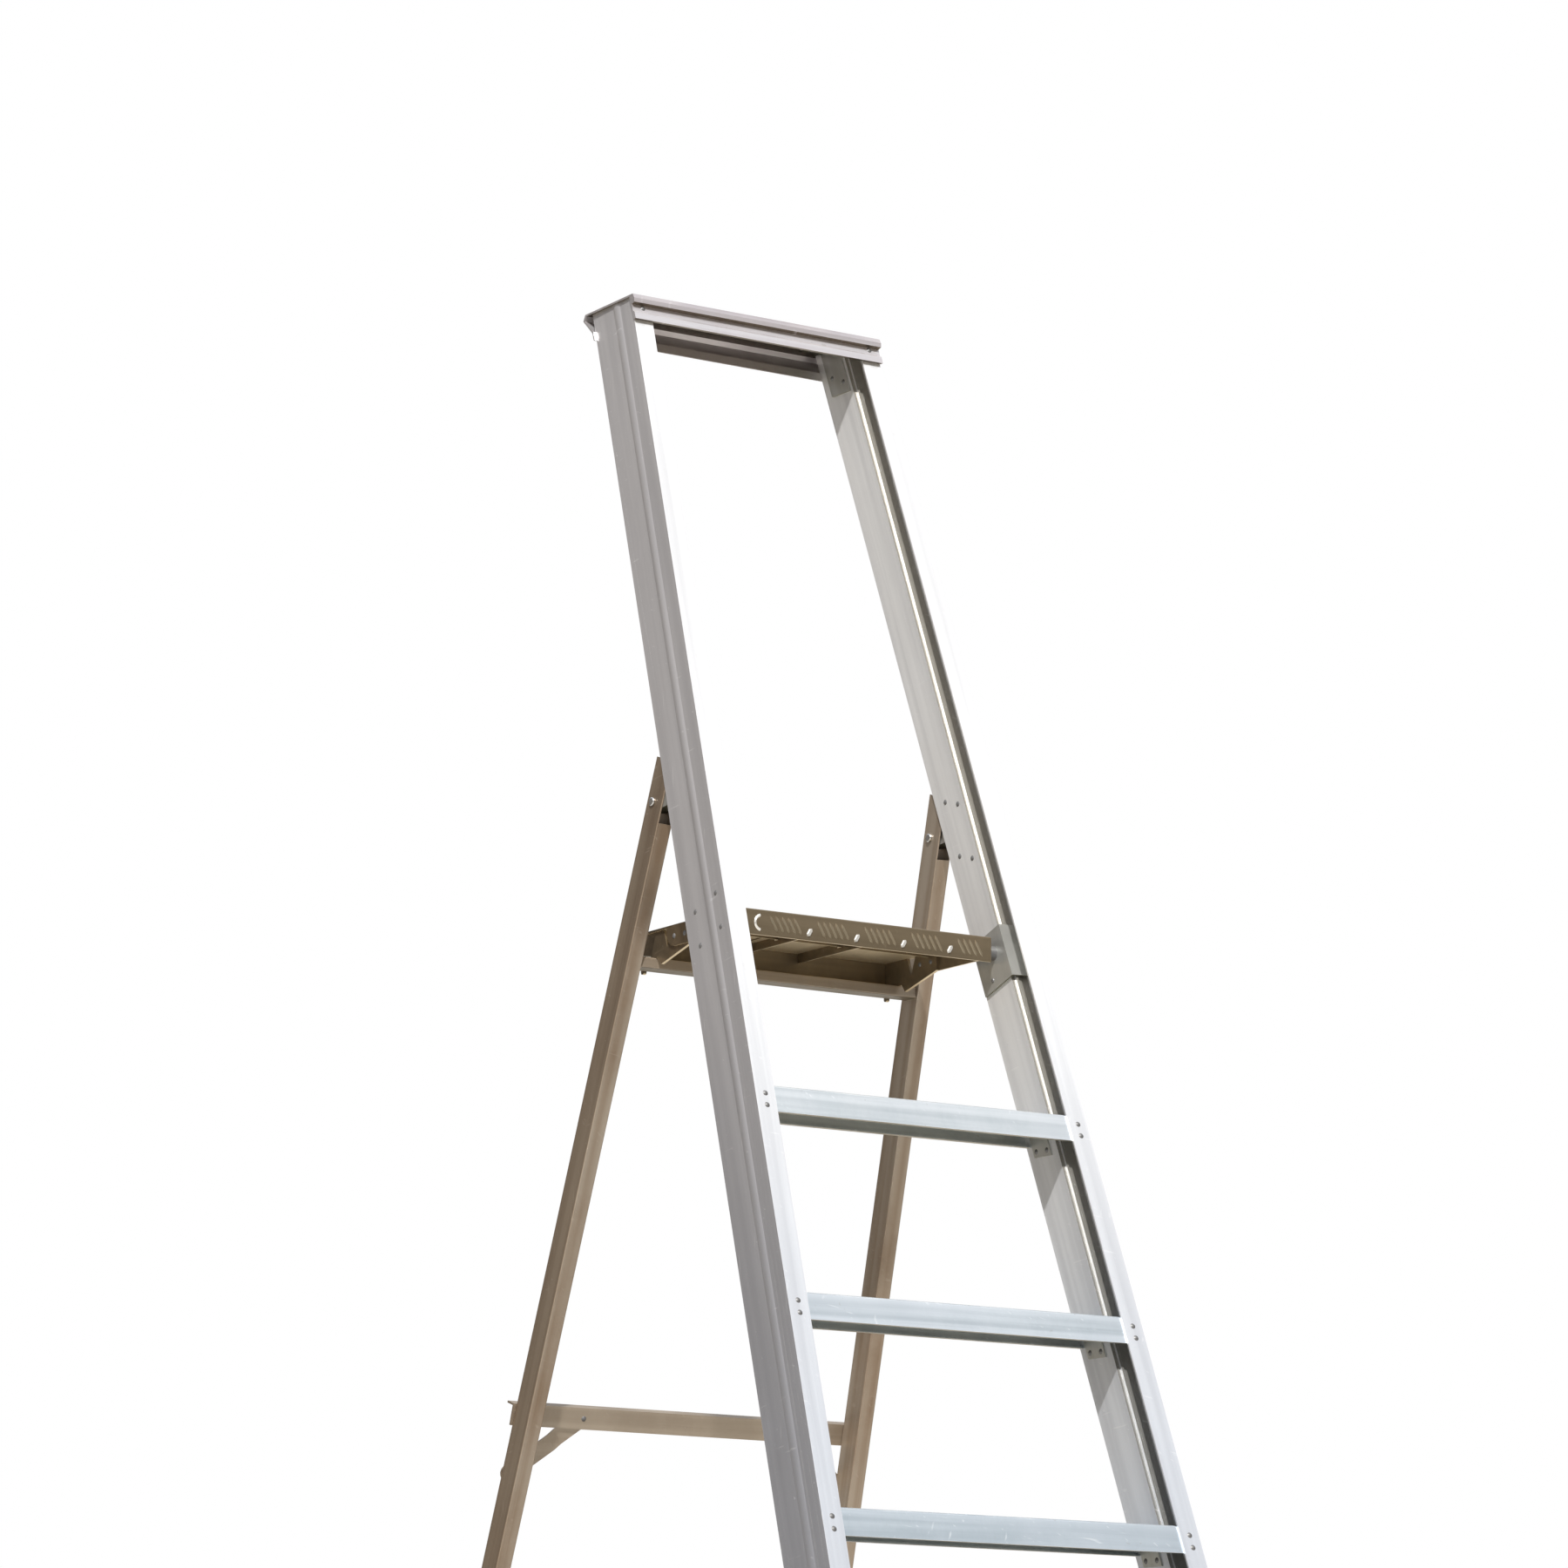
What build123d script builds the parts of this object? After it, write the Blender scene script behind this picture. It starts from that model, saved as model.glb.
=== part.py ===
from build123d import *
import os
from math import atan, cos, hypot, radians, sin, tan

# A folding aluminium platform step ladder. X runs across it, Y from the climber's side to the
# rear, Z up. The origin lies on the floor, in the middle of the footprint. All sizes are in mm.

# Overall sizes
tread_count = 6
tread_rise = 250             # floor to first tread, and from each tread to the next
platform_rise = 231.5        # top tread to platform
guard_height = 820.5         # platform to the top of the cap
stile_lean = 20              # degrees that the stiles lean back from upright
leg_lean = 18                # degrees that the rear legs lean forward from upright
floor_half_width = 311       # middle of the ladder to a stile's outer face, at the floor
taper = 0.05                 # half width lost with each mm of height

# Stile extrusion: a groove in front that takes the treads, and a channel behind it
stile_width = 27
stile_depth = 90
stile_wall = 2
flange_wall = 2.2
groove_depth = 34            # front face to the wall that closes the groove
inner_face = 26              # outer face to the channel's inner face
stile_lip = 3.5
stile_lip_depth = 4
bead_height = 1.5
bead_start = 27
bead_width = 16
groove_rib_width = 3
groove_rib_height = 3
groove_rib_across = 18

# Treads
tread_plate = 2.2
tread_front_lip = 32.4
tread_rear_lip = 31.3
tread_lip_wall = 2
tread_return = 9
tread_nose = 2.5
grip_rib_height = 0.8
grip_rib_width = 3
grip_rib_pitch = 7.6
under_rib_place = 36
under_rib_height = 7
tread_rivet_drops = (11, 25.5)
tread_rivet_across = 13.5

# Cleats under the tread ends
cleat_wall = 2
cleat_shelf = 22
cleat_drop = 45
cleat_depths = (46, 78)
cleat_rivet_drop = 38
cleat_rivet_inset = 6

# Cap over the stile tops: its outline is in pairs of depth behind the stile front and drop
cap_overhang = 3
cap_plate = 2.5
cap_apron = 34
cap_bead = 10.5
cap_nose = 17
cap_rear_drop = 39
cap_bracket_wall = 2.5
cap_bracket_drop = 64
cap_bracket_shelf = 34
cap_bracket_depths = (38, 76)
cap_wall_rivets = ((46, 52), (66, 42))
cap_apron_rivet_drop = 18
cap_apron_rivet_across = 13.5

# Hinge between a stile and its rear leg
pivot_above_platform = 148.5
pivot_behind_stile_rear = 32
hinge_block_length = 120
hinge_block_start = 38
hinge_block_end = 2          # short of the stile's rear edge
hinge_block_below = 84       # pivot to the lower end of the block, along the stile
tongue_width = 15.6
tongue_radius = 12.5
tongue_root = 22
hinge_pin_radius = 4
hinge_pin_head_radius = 5.5
hinge_pin_head = 2.6
hinge_rivets = ((69.5, 22), (47, 7), (69.5, -55), (47, -70))
hinge_rivet_grip = 14

# Rear legs
leg_width = 21
leg_depth = 35
leg_wall = 1.8
leg_corner = 1.6
leg_inset = 3.6              # stile's outer face to the leg's outer face
leg_pivot_depth = 21.4       # leg's front face to the pivot
leg_above_pivot = 54
leg_slot_below_pivot = 23.5
leg_stop_gap = 1.5

# Bar between the legs that the platform rests on
crossbar_depth = 26
crossbar_height = 13
crossbar_wall = 1.8
crossbar_drop = 34.5         # platform top to bar top
crossbar_setback = 6         # behind the leg's front face, at the bar's top
crossbar_cleat_length = 16
crossbar_cleat_height = 18
crossbar_cleat_depth = 16

# Braces behind the legs, with a corner strut at each end
brace_heights = (1154.5, 330)
brace_height = 27
brace_wall = 2.5
brace_flange = 16
brace_overhang = 3
strut_width = 22
strut_wall = 2.5
strut_inset = 99             # leg's outer face to the strut's upper rivet, along the brace
strut_slope = 38.4
joggle_start = 40
joggle_length = 12
brace_rivet_spread = 6

# Platform
platform_setback = 35.7      # stile front to the platform's front lip, at the platform's top
platform_gap = 13.3          # bracket to the platform's skirt
platform_length = 225
platform_plate = 2.5
platform_lip = 31
platform_skirt = 26
platform_rear_lip = 31
skirt_length = 163
skirt_round = 18
deck_rib_place = 47
deck_rib_height = 12
deck_rib_flange = 10
deck_rib_wall = 1.6
cross_rib_setback = 125
pin_setback = 14
pin_drop = 17.5
platform_pin_radius = 4
platform_pin_head_radius = 7
platform_pin_head = 3.5
platform_nut_width = 13
platform_nut_height = 5
spacer_radius = 9

# Arms that hook over the bar
arm_wall = 4
arm_start = 109
arm_front_drop = 26
arm_drop = 43.5
arm_notch = 165
arm_notch_depth = 25
arm_notch_half = 9
arm_lower_end = 179
prong_length = 16
prong_thickness = 7
arm_rivet_places = (122, 146)
arm_rivet_drop = 14

# Platform brackets: a folded plate on each stile
bracket_wall = 3
bracket_height = 70
bracket_above_pin = 28
bracket_step = 27.5
bracket_pad = 6
bracket_rear = 88
bracket_front_rivet = 18
bracket_rear_rivet = 66
bracket_rivet_inset = 12

# Feet
boot_wall = 3
boot_sole = 8
boot_length = 82
boot_corner = 3
sole_groove = 4
sole_groove_depth = 2
sole_groove_pitch = 14
boot_rivet_along = 62

# Rivets
rivet_radius = 2
rivet_head_radius = 3.4
rivet_head = 1.5
rivet_tail_radius = 3
rivet_tail = 1.2
flush_head_radius = 3.6
flush_head_depth = 1.5

# Clearances
rivet_clearance = 0.1
running_clearance = 0.08
fit_clearance = 0.3
boot_clearance = 0.1

lean = radians(stile_lean)
rear_lean = radians(leg_lean)
platform_top = tread_count * tread_rise + platform_rise
ladder_top = platform_top + guard_height
stile_top = ladder_top - cap_plate
pivot_depth = stile_depth + pivot_behind_stile_rear
pivot_height = platform_top + pivot_above_platform
reach = 2 * ladder_top       # longer than any piece, for cutting tools

# Distance between the stile's and the leg's front faces at the floor
pivot_behind_stile = pivot_height * tan(lean) + pivot_depth / cos(lean)
leg_front_at_pivot = pivot_behind_stile - leg_pivot_depth / cos(rear_lean)
leg_behind_stile = leg_front_at_pivot + pivot_height * tan(rear_lean)
front_overhang = boot_wall / cos(lean)
rear_overhang = (leg_depth + boot_wall) / cos(rear_lean)
stile_y = (front_overhang - leg_behind_stile - rear_overhang) / 2
leg_y = stile_y + leg_behind_stile
pivot_y = stile_y + pivot_behind_stile


def sloping_frame(side_x, floor_y, angle, narrowing):
    # Local X runs inward, local Y from front to rear, local Z up along the slope
    turn = atan(narrowing * cos(angle))
    inward = (cos(turn), -sin(turn) * sin(angle), -sin(turn) * cos(angle))
    upward = (sin(turn), cos(turn) * sin(angle), cos(turn) * cos(angle))
    return Plane(origin=(side_x, floor_y, 0), x_dir=inward, z_dir=upward).location


world = Location()
stile_frame = sloping_frame(-floor_half_width, stile_y, lean, taper)
leg_frame = sloping_frame(leg_inset - floor_half_width, leg_y, -rear_lean, taper)
rear_plane = sloping_frame(0, leg_y, -rear_lean, 0)


def block(frame, across, deep, along):
    ranges = (across, deep, along)
    size = [high - low for low, high in ranges]
    centre = [(high + low) / 2 for low, high in ranges]
    return frame * Pos(*centre) * Box(*size)


def slab(low, high):
    return block(world, (-reach, reach), (-reach, reach), (low, high))


def strip(left, right, bottom, top):
    return Pos((left + right) / 2, (bottom + top) / 2) * Rectangle(right - left, top - bottom)


def group(solids):
    return Compound([solid for part in solids for solid in part.solids()])


def other_side(part):
    return mirror(part, about=Plane.YZ)


def both_sides(parts):
    return parts + [other_side(part) for part in parts]


def along_at(frame, height, across, depth):
    # Distance up a sloping frame at which a point of the given place reaches a height
    plane = Plane(frame)
    return (height - across * plane.x_dir.Z - depth * plane.y_dir.Z) / plane.z_dir.Z


def stile_y_at(height, depth=0):
    return stile_y + height * tan(lean) + depth / cos(lean)


def leg_y_at(height, depth=0):
    return leg_y - height * tan(rear_lean) + depth / cos(rear_lean)


def half_width_at(height, inset=0):
    return floor_half_width - taper * height - inset


# Rivets: the head is below the XY plane of the seat, and the shank runs up from it

def rivet(seat, grip, tail=True):
    shank = rivet_radius
    head = rivet_head_radius
    end = grip + rivet_tail * tail
    shoulder = (head * 0.68, -rivet_head * 0.55)
    lines = [Line((0, end), (0, -rivet_head)), ThreePointArc((0, -rivet_head), shoulder, (head, 0))]
    lines += [Line((head, 0), (shank, 0)), Line((shank, 0), (shank, grip))]
    if tail:
        lines.append(Polyline((shank, grip), (rivet_tail_radius, grip),
                              (rivet_tail_radius * 0.7, end), (0, end)))
    else:
        lines.append(Line((shank, grip), (0, grip)))
    profile = Plane.XZ * make_face(Curve() + lines)
    return seat * revolve(profile, Axis.Z)


def rivet_hole(seat, grip):
    length = grip + 4
    return seat * Pos(0, 0, grip / 2) * Cylinder(rivet_radius + rivet_clearance, length)


# Flush rivets: the countersunk head's flat top lies in the seat

def flush_rivet(seat, grip):
    end = grip + rivet_tail
    outline = [(0, 0), (flush_head_radius, 0), (rivet_radius, flush_head_depth),
               (rivet_radius, grip), (rivet_tail_radius, grip), (rivet_tail_radius * 0.7, end), (0, end)]
    profile = Plane.XZ * make_face(Polyline(*outline, close=True))
    return seat * revolve(profile, Axis.Z)


def flush_hole(seat, grip):
    cone = Cone(flush_head_radius + rivet_clearance, rivet_radius + rivet_clearance, flush_head_depth)
    return rivet_hole(seat, grip) + seat * Pos(0, 0, flush_head_depth / 2) * cone


toward_rear = Rot(-90, 0, 0)
toward_front = Rot(90, 0, 0)
inward = Rot(0, 90, 0)
outward = Rot(0, -90, 0)
downward = Rot(180, 0, 0)


def stile_seat(across, depth, along, turn):
    return stile_frame * Pos(across, depth, along) * turn


def stile_point(height, across, depth):
    return along_at(stile_frame, height, across, depth)


# Places of the rivets on the left stile, as (seat, grip)

tread_heights = [tread_rise * (step + 1) for step in range(tread_count)]
tread_front_seats = []
cleat_wall_seats = []
for height in tread_heights:
    for drop in tread_rivet_drops:
        along = stile_point(height - drop, tread_rivet_across, 0)
        tread_front_seats.append((stile_seat(tread_rivet_across, 0, along, toward_rear),
                                  flange_wall + tread_lip_wall))
    for depth in (cleat_depths[0] + cleat_rivet_inset, cleat_depths[1] - cleat_rivet_inset):
        along = stile_point(height - cleat_rivet_drop, inner_face, depth)
        cleat_wall_seats.append((stile_seat(inner_face + cleat_wall, depth, along, outward),
                                 stile_wall + cleat_wall))

cap_wall_seats = []
for depth, drop in cap_wall_rivets:
    along = stile_point(ladder_top - drop, inner_face, depth)
    cap_wall_seats.append((stile_seat(inner_face + cap_bracket_wall, depth, along, outward),
                           stile_wall + cap_bracket_wall))
cap_apron_along = stile_point(ladder_top - cap_apron_rivet_drop, cap_apron_rivet_across, 0)
cap_apron_seats = [(stile_seat(cap_apron_rivet_across, -cap_plate, cap_apron_along, toward_rear),
                    cap_plate + flange_wall)]

pivot_along = stile_point(pivot_height, stile_width / 2, pivot_depth)
hinge_block_seats = [(stile_seat(inner_face, depth, pivot_along + rise, outward), hinge_rivet_grip)
                     for depth, rise in hinge_rivets]

pin_height = platform_top - pin_drop
platform_half_width = half_width_at(pin_height, inner_face + bracket_wall + platform_gap)
pin_y = stile_y_at(platform_top) + platform_setback + pin_setback
pin_depth = (pin_y - stile_y_at(pin_height)) * cos(lean)
pin_along = stile_point(pin_height, inner_face, pin_depth)
bracket_low = pin_along + bracket_above_pin - bracket_height
bracket_high = pin_along + bracket_above_pin
bracket_seats = []
for along in (bracket_low + bracket_rivet_inset, bracket_high - bracket_rivet_inset):
    bracket_seats.append((stile_seat(0, bracket_front_rivet, along, inward),
                          stile_wall + bracket_wall))
    bracket_seats.append((stile_seat(0, bracket_rear_rivet, along, inward),
                          inner_face + bracket_wall))

boot_outer = bead_height + boot_wall
front_boot_seats = [(stile_seat(-boot_outer, stile_depth * 0.7, boot_rivet_along, inward),
                     boot_outer + stile_wall)]

stile_holes = (tread_front_seats + cleat_wall_seats + cap_wall_seats + cap_apron_seats
               + hinge_block_seats + bracket_seats + front_boot_seats)


def pin_along_x(radius, left, right, y, z):
    return Pos((left + right) / 2, y, z) * Rot(0, 90, 0) * Cylinder(radius, right - left)


def make_stile():
    rear = (stile_depth - stile_lip_depth, stile_depth)
    section = strip(0, stile_wall, 0, stile_depth) + strip(0, stile_width, 0, flange_wall)
    section += strip(0, inner_face, groove_depth, groove_depth + stile_wall)
    section += strip(inner_face - stile_wall, inner_face, groove_depth, stile_depth)
    section += strip(0, stile_lip, *rear) + strip(inner_face - stile_lip, inner_face, *rear)
    section += strip(groove_rib_across, groove_rib_across + groove_rib_width,
                     groove_depth - groove_rib_height, groove_depth)
    bead_end = bead_start + bead_width
    bead_top = (-bead_height, bead_start + bead_width / 2)
    bead_arc = ThreePointArc((0, bead_start), bead_top, (0, bead_end))
    section += make_face(Curve() + [bead_arc, Line((0, bead_end), (0, bead_start))])
    stile = stile_frame * extrude(section, amount=reach)
    stile &= slab(boot_sole, stile_top)
    pin_hole = pin_along_x(platform_pin_radius + rivet_clearance, -floor_half_width,
                           -platform_half_width, pin_y, pin_height)
    pin_hole &= block(stile_frame, (inner_face - 2 * stile_wall, stile_width + boot_outer),
                      (0, stile_depth), (0, reach))
    return stile - [rivet_hole(seat, grip) for seat, grip in stile_holes] - pin_hole


# Treads

def leaning_strip(near, far, bottom, top):
    corners = [(near + bottom * tan(lean), bottom), (far + bottom * tan(lean), bottom),
               (far + top * tan(lean), top), (near + top * tan(lean), top)]
    return make_face(Polyline(*corners, close=True))


def make_tread(height):
    near = flange_wall / cos(lean)
    far = stile_depth / cos(lean)
    wall = tread_lip_wall / cos(lean)
    top = -grip_rib_height
    section = leaning_strip(near, far, top - tread_plate, top)
    section += leaning_strip(near, near + wall, -tread_front_lip, top)
    section += leaning_strip(far - wall, far, -tread_rear_lip, top)
    section += leaning_strip(near, near + tread_return, -tread_front_lip,
                             tread_lip_wall - tread_front_lip)
    section += leaning_strip(far - tread_return, far, -tread_rear_lip, tread_lip_wall - tread_rear_lip)
    section += strip(under_rib_place, under_rib_place + tread_lip_wall,
                     top - tread_plate - under_rib_height, top - tread_plate)
    nose = section.vertices().sort_by_distance((near, top, 0))[0]
    section = fillet(nose, tread_nose)
    rib_count = int((far - near - 2 * tread_nose - grip_rib_width) / grip_rib_pitch) + 1
    for rib in range(rib_count):
        place = near + tread_nose + 1 + rib * grip_rib_pitch
        section += strip(place, place + grip_rib_width, top - tread_plate / 2, 0)
    side = Plane(origin=(0, stile_y_at(height), height), x_dir=(0, 1, 0), z_dir=(1, 0, 0))
    half = half_width_at(height) + stile_width
    tread = side * extrude(section, amount=half, both=True)
    middle = stile_point(height, 0, 0)
    span = (middle - 80, middle + 90)
    beyond = block(stile_frame, (-60, stile_wall + fit_clearance), (-20, stile_depth + 20), span)
    beyond += block(stile_frame, (-60, inner_face + fit_clearance),
                    (groove_depth - groove_rib_height - 1.5, stile_depth + 20), span)
    tread -= [beyond, other_side(beyond)]
    holes = [rivet_hole(seat, grip) for seat, grip in tread_front_seats]
    holes += [rivet_hole(seat, grip) for seat, grip in cleat_shelf_seats]
    near_holes = [hole for hole in holes if abs(hole.center().Z - height) < tread_rise / 2]
    return tread - both_sides(near_holes)


cleat_shelf_seats = []
for height in tread_heights:
    rivet_y = stile_y_at(height, sum(cleat_depths) / 2)
    rivet_x = -half_width_at(height, inner_face + cleat_shelf * 0.62)
    cleat_shelf_seats.append((Pos(rivet_x, rivet_y, height) * downward,
                              grip_rib_height + tread_plate + cleat_wall))


def make_cleat(height):
    under = height - grip_rib_height - tread_plate
    middle = stile_point(height, inner_face, cleat_depths[0])
    span = (middle - 90, middle + 90)
    wall = block(stile_frame, (inner_face, inner_face + cleat_wall), cleat_depths, span)
    shelf = block(stile_frame, (inner_face, inner_face + cleat_shelf), cleat_depths, span)
    cleat = (wall & slab(height - cleat_drop, under)) + (shelf & slab(under - cleat_wall, under))
    seats = [seat for seat in cleat_wall_seats + cleat_shelf_seats
             if abs(seat[0].position.Z - height) < tread_rise / 2]
    return cleat - [rivet_hole(seat, grip) for seat, grip in seats]


# Cap

def make_cap():
    bead = cap_bead
    low_bead = bead * 0.5
    nose = stile_depth + cap_nose
    outline = [(0, cap_apron), (-low_bead, cap_apron), (-low_bead, cap_apron - 9),
               (-cap_plate, cap_apron - 11.5), (-cap_plate, 13.5), (-bead + 1.5, 11.5), (-bead, 6),
               (-bead + 1.5, 0), (nose - 7, 0), (nose, 8), (stile_depth + cap_plate, 29),
               (stile_depth + cap_plate, cap_rear_drop), (stile_depth, cap_rear_drop),
               (stile_depth, 27.5), (nose - 3.6, 8.6), (nose - 8.5, cap_plate), (0, cap_plate)]
    points = [(depth / cos(lean) - drop * tan(lean), -drop) for depth, drop in outline]
    side = Plane(origin=(0, stile_y_at(ladder_top), ladder_top), x_dir=(0, 1, 0), z_dir=(1, 0, 0))
    section = side * make_face(Polyline(*points, close=True))
    cap = extrude(section, amount=half_width_at(ladder_top) + cap_overhang, both=True)
    seats = cap_apron_seats + cap_top_seats
    return cap - both_sides([rivet_hole(seat, grip) for seat, grip in seats])


cap_top_seats = []
for depth in (cap_bracket_depths[0] + 8, cap_bracket_depths[1] - 8):
    rivet_x = -half_width_at(ladder_top, inner_face + cap_bracket_shelf * 0.65)
    cap_top_seats.append((Pos(rivet_x, stile_y_at(ladder_top, depth), ladder_top) * downward,
                          cap_plate + cap_bracket_wall))


def make_cap_bracket():
    middle = stile_point(ladder_top, inner_face, cap_bracket_depths[0])
    span = (middle - 110, middle + 110)
    wall = block(stile_frame, (inner_face, inner_face + cap_bracket_wall), cap_bracket_depths, span)
    shelf = block(stile_frame, (inner_face, inner_face + cap_bracket_shelf), cap_bracket_depths, span)
    bracket = wall & slab(stile_top - cap_bracket_drop, stile_top)
    bracket += shelf & slab(stile_top - cap_bracket_wall, stile_top)
    return bracket - [rivet_hole(seat, grip) for seat, grip in cap_wall_seats + cap_top_seats]


# Hinges

leg_pivot_along = along_at(leg_frame, pivot_height, leg_width / 2, leg_pivot_depth)


def leg_x_at_pivot(across):
    along = along_at(leg_frame, pivot_height, across, leg_pivot_depth)
    return (leg_frame * Pos(across, leg_pivot_depth, along)).position.X


leg_outer_x = leg_x_at_pivot(0)
leg_inner_x = leg_x_at_pivot(leg_width)
seat_slack = hinge_pin_head_radius * taper


def hinge_axis_hole(radius):
    return pin_along_x(radius, -floor_half_width, 0, pivot_y, pivot_height)


# The tongue stands in line with the middle of the leg
leg_middle = Vector(leg_x_at_pivot(leg_width / 2), pivot_y, pivot_height)
tongue_across = Plane(stile_frame).to_local_coords(leg_middle).X


def make_hinge_block():
    low = pivot_along - hinge_block_below
    high = low + hinge_block_length
    middle = inner_face / 2
    body_half = middle - stile_wall - 0.2
    profile = Plane(origin=(middle, 0, 0), x_dir=(0, 1, 0), z_dir=(1, 0, 0))
    near = hinge_block_start
    far = stile_depth - hinge_block_end
    body = Pos((near + far) / 2, (low + high) / 2)
    body *= RectangleRounded(far - near, high - low, 5)
    inside_lip = stile_depth - stile_lip_depth - 0.5
    cut = block(world, (0, inner_face), (inside_lip, far + 1), (low - 1, high + 1))
    solid = profile * extrude(body, amount=body_half, both=True)
    solid -= cut
    root = [(near + 10, pivot_along - tongue_root), (near + 10, high - 4)]
    root += [(inside_lip, high - 4), (pivot_depth, pivot_along + tongue_radius)]
    root += [(pivot_depth, pivot_along - tongue_radius), (inside_lip, pivot_along - tongue_root)]
    tongue = make_face(Polyline(*root, close=True)) + Pos(pivot_depth, pivot_along) * Circle(tongue_radius)
    tongue_side = Plane(origin=(tongue_across, 0, 0), x_dir=(0, 1, 0), z_dir=(1, 0, 0))
    solid += tongue_side * extrude(tongue, amount=tongue_width / 2, both=True)
    solid = stile_frame * solid
    solid -= [rivet_hole(seat, grip) for seat, grip in hinge_block_seats]
    return solid - hinge_axis_hole(hinge_pin_radius + running_clearance)


def make_hinge_pin():
    outer = leg_outer_x - seat_slack
    inner = leg_inner_x + seat_slack
    pin = pin_along_x(hinge_pin_radius, outer, inner, pivot_y, pivot_height)
    for near, far, edge in ((outer - hinge_pin_head, outer, -1), (inner, inner + hinge_pin_head, 1)):
        head = pin_along_x(hinge_pin_head_radius, near, far, pivot_y, pivot_height)
        rim = head.edges().filter_by(GeomType.CIRCLE).sort_by(Axis.X)[0 if edge < 0 else -1]
        pin += fillet(rim, hinge_pin_head * 0.6)
    return pin


# Rear legs

def leg_seat(across, depth, along, turn):
    return leg_frame * Pos(across, depth, along) * turn


def make_leg():
    outer = RectangleRounded(leg_width, leg_depth, leg_corner)
    inner = Rectangle(leg_width - 2 * leg_wall, leg_depth - 2 * leg_wall)
    section = Pos(leg_width / 2, leg_depth / 2) * (outer - inner)
    leg = leg_frame * extrude(section, amount=leg_pivot_along + leg_above_pivot)
    leg &= slab(boot_sole, ladder_top)
    leg -= block(leg_frame, (leg_wall, leg_width - leg_wall), (-1, leg_depth + 1),
                 (leg_pivot_along - leg_slot_below_pivot, reach))
    leg -= block(stile_frame, (-80, 120), (0, stile_depth + leg_stop_gap), (0, reach))
    seats = crossbar_wall_seats + brace_leg_seats + strut_leg_seats + rear_boot_seats
    leg -= [rivet_hole(seat, grip) for seat, grip in seats]
    return leg - hinge_axis_hole(hinge_pin_radius + running_clearance)


# Bar under the platform

bar_top = platform_top - crossbar_drop
bar_near = leg_y_at(bar_top) + crossbar_setback
bar_far = bar_near + crossbar_depth
bar_middle = (bar_near + bar_far) / 2
cleat_along = along_at(leg_frame, bar_top + crossbar_cleat_height * 0.6, leg_width, leg_depth / 2)
crossbar_wall_seats = [(leg_seat(leg_width + crossbar_wall, leg_depth / 2, cleat_along, outward),
                        leg_wall + crossbar_wall)]
bar_cleat_x = half_width_at(bar_top, leg_inset + leg_width + crossbar_cleat_length * 0.55)
crossbar_top_seats = [(Pos(-bar_cleat_x, bar_middle, bar_top + crossbar_wall) * downward,
                       2 * crossbar_wall)]


def make_crossbar():
    half = half_width_at(bar_top, leg_inset)
    section = RectangleRounded(crossbar_depth, crossbar_height, 1.2)
    section -= Rectangle(crossbar_depth - 2 * crossbar_wall, crossbar_height - 2 * crossbar_wall)
    side = Plane(origin=(0, bar_middle, bar_top - crossbar_height / 2), x_dir=(0, 1, 0),
                 z_dir=(1, 0, 0))
    bar = side * extrude(section, amount=half, both=True)
    beyond = block(leg_frame, (-60, leg_width + fit_clearance), (-60, leg_depth + 60), (0, reach))
    bar -= [beyond, other_side(beyond)]
    return bar - both_sides([rivet_hole(seat, grip) for seat, grip in crossbar_top_seats])


def make_crossbar_cleat():
    depths = ((leg_depth - crossbar_cleat_depth) / 2, (leg_depth + crossbar_cleat_depth) / 2)
    low = cleat_along - 60
    wall = block(leg_frame, (leg_width, leg_width + crossbar_wall), depths, (low, cleat_along + 60))
    shelf = block(leg_frame, (leg_width, leg_width + crossbar_cleat_length), depths,
                  (low, cleat_along + 60))
    cleat = wall & slab(bar_top, bar_top + crossbar_cleat_height)
    cleat += shelf & slab(bar_top, bar_top + crossbar_wall)
    seats = crossbar_wall_seats + crossbar_top_seats
    return cleat - [rivet_hole(seat, grip) for seat, grip in seats]


# Braces and corner struts: the upper pair hangs below its brace, the lower pair stands above

def leg_centre_at(along):
    height = along * cos(rear_lean)
    return half_width_at(height, leg_inset + leg_width / 2)


brace_places = [along_at(rear_plane, height, 0, leg_depth) for height in brace_heights]
strut_turns = (-1, 1)
brace_leg_seats = []
strut_leg_seats = []
strut_brace_seats = []
strut_frames = []
for place, turn in zip(brace_places, strut_turns):
    strut_start = leg_centre_at(place) + leg_width / 2 - strut_inset
    run = strut_inset - leg_width / 2
    run -= run * tan(radians(strut_slope)) * taper * turn
    strut_rise = run * tan(radians(strut_slope)) * turn
    strut_length = hypot(run, strut_rise)
    along_strut = (-run / strut_length, 0, strut_rise / strut_length)
    strut_frames.append((strut_start, place, along_strut, strut_length))
    for step in (-brace_rivet_spread, brace_rivet_spread):
        seat = rear_plane * Pos(-leg_centre_at(place + step), leg_depth + brace_wall, place + step)
        brace_leg_seats.append((seat * toward_front, brace_wall + leg_wall))
    seat = rear_plane * Pos(-strut_start, leg_depth, place) * toward_rear
    strut_brace_seats.append((seat, brace_wall + strut_wall))
    seat = rear_plane * Pos(-strut_start - run, leg_depth + strut_wall, place + strut_rise)
    strut_leg_seats.append((seat * toward_front, strut_wall + leg_wall))


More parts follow.
